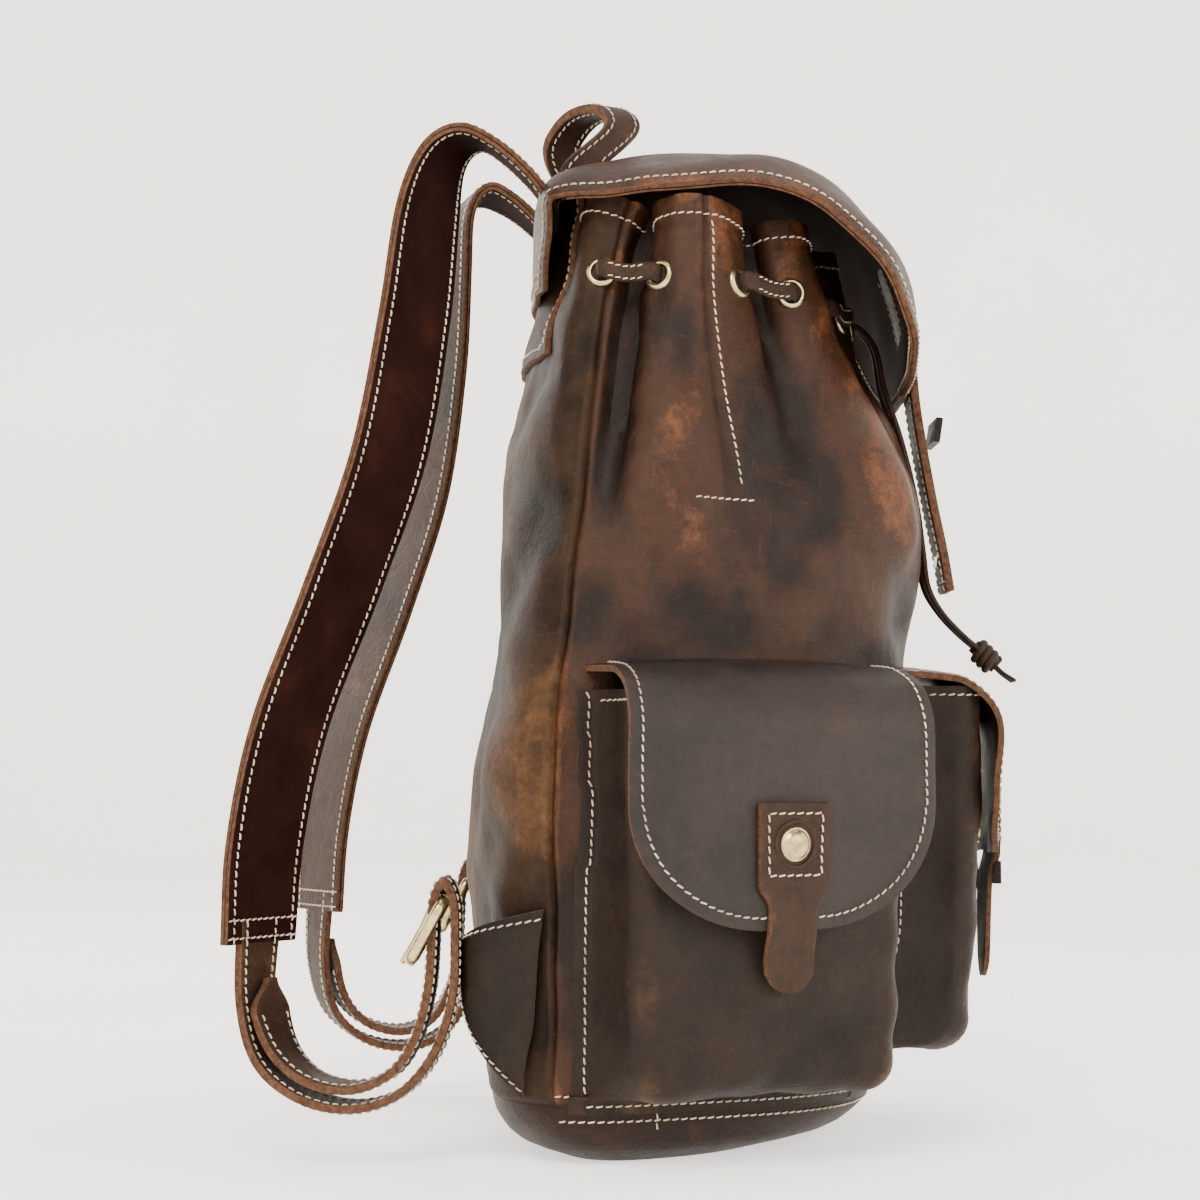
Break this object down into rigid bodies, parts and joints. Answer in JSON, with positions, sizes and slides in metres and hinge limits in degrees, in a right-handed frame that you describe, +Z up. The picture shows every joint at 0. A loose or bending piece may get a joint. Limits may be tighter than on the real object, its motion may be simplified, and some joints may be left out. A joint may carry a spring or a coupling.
{
  "type": "leather backpack",
  "caption": "Leather drawstring backpack with a hinged lid, flapped side and front pockets, a grab loop and two buckled shoulder straps.",
  "frame": {"origin": "centre of the flat base, on the surface the bag stands on", "axes": "+Z up, -Y towards the front pocket, +Y towards the wearer's back"},
  "size_m": [0.3804, 0.3399, 0.4608],
  "materials": {
    "oiled_leather": "full-grain oiled pull-up leather, dark brown rubbed to tan, matt to semi-matt",
    "flap_leather": "smoother dark grey-brown oiled leather",
    "lining_leather": "dark red-brown split leather, matt, fine nap",
    "cloth": "plain-woven cotton lining",
    "board": "stiff fibre board",
    "brass": "antique brass, satin",
    "cord_leather": "folded leather lace with a line of stitching"
  },
  "bodies": {
    "root": {"back_panel": "oiled_leather", "front_panel": "oiled_leather", "base_panel": "oiled_leather", "lining": "cloth", "base_board": "board", "back_yoke": "oiled_leather", "eyelets": "brass", "drawstring": "cord_leather", "drawstring_ends": "cord_leather", "drawstring_knot": "cord_leather", "lid_snap_socket": "brass", "left_pocket_gusset": "oiled_leather", "left_pocket_front": "flap_leather", "left_snap_socket": "brass", "right_pocket_gusset": "oiled_leather", "right_pocket_front": "flap_leather", "right_snap_socket": "brass", "front_pocket_gusset": "oiled_leather", "front_pocket_front": "flap_leather", "front_snap_socket": "brass", "left_anchor": "oiled_leather", "right_anchor": "oiled_leather"},
    "lid": {"lid_outer": "oiled_leather", "lid_lining": "lining_leather", "lid_strap": "oiled_leather", "lid_strap_keeper": "oiled_leather", "lid_snap_stud": "brass"},
    "grab_loop": {"grab_loop": "oiled_leather"},
    "left_flap": {"left_flap": "flap_leather", "left_tab": "oiled_leather", "left_rivet": "brass", "left_snap_stud": "brass"},
    "right_flap": {"right_flap": "flap_leather", "right_tab": "oiled_leather", "right_rivet": "brass", "right_snap_stud": "brass"},
    "front_flap": {"front_flap": "flap_leather", "front_tab": "oiled_leather", "front_tab_keeper": "oiled_leather", "front_snap_stud": "brass"},
    "left_strap": {"left_strap_outer": "oiled_leather", "left_strap_lining": "lining_leather", "left_strap_tail": "oiled_leather", "left_buckle": "brass", "left_prong": "brass"},
    "right_strap": {"right_strap_outer": "oiled_leather", "right_strap_lining": "lining_leather", "right_strap_tail": "oiled_leather", "right_buckle": "brass", "right_prong": "brass"}
  },
  "joints": [
    {"name": "lid_hinge", "type": "hinge", "parent": "root", "child": "lid", "pos_m": [0, 0.043, 0.4215], "axis": [-1, 0, 0], "range_deg": [0, 40]},
    {"name": "grab_loop_tilt", "type": "hinge", "parent": "root", "child": "grab_loop", "pos_m": [0, 0.057, 0.4245], "axis": [1, 0, 0], "range_deg": [-25, 0]},
    {"name": "left_flap_hinge", "type": "hinge", "parent": "root", "child": "left_flap", "pos_m": [-0.1251, -0.0037, 0.2073], "axis": [-0.4226, 0.9063, 0], "range_deg": [0, 80]},
    {"name": "right_flap_hinge", "type": "hinge", "parent": "root", "child": "right_flap", "pos_m": [0.1251, -0.0037, 0.2073], "axis": [-0.4226, -0.9063, 0], "range_deg": [0, 80]},
    {"name": "front_flap_hinge", "type": "hinge", "parent": "root", "child": "front_flap", "pos_m": [0, -0.095, 0.2033], "axis": [-1, 0, 0], "range_deg": [0, 60], "deforming": ["drawstring_ends", "drawstring_knot"]},
    {"name": "left_strap_swing", "type": "hinge", "parent": "root", "child": "left_strap", "pos_m": [-0.114, 0.11, 0.104], "axis": [-0.1778, 0.108, -0.9781], "range_deg": [-20, 20]},
    {"name": "right_strap_swing", "type": "hinge", "parent": "root", "child": "right_strap", "pos_m": [0.114, 0.11, 0.104], "axis": [0.1778, 0.108, -0.9781], "range_deg": [-20, 20]}
  ]
}
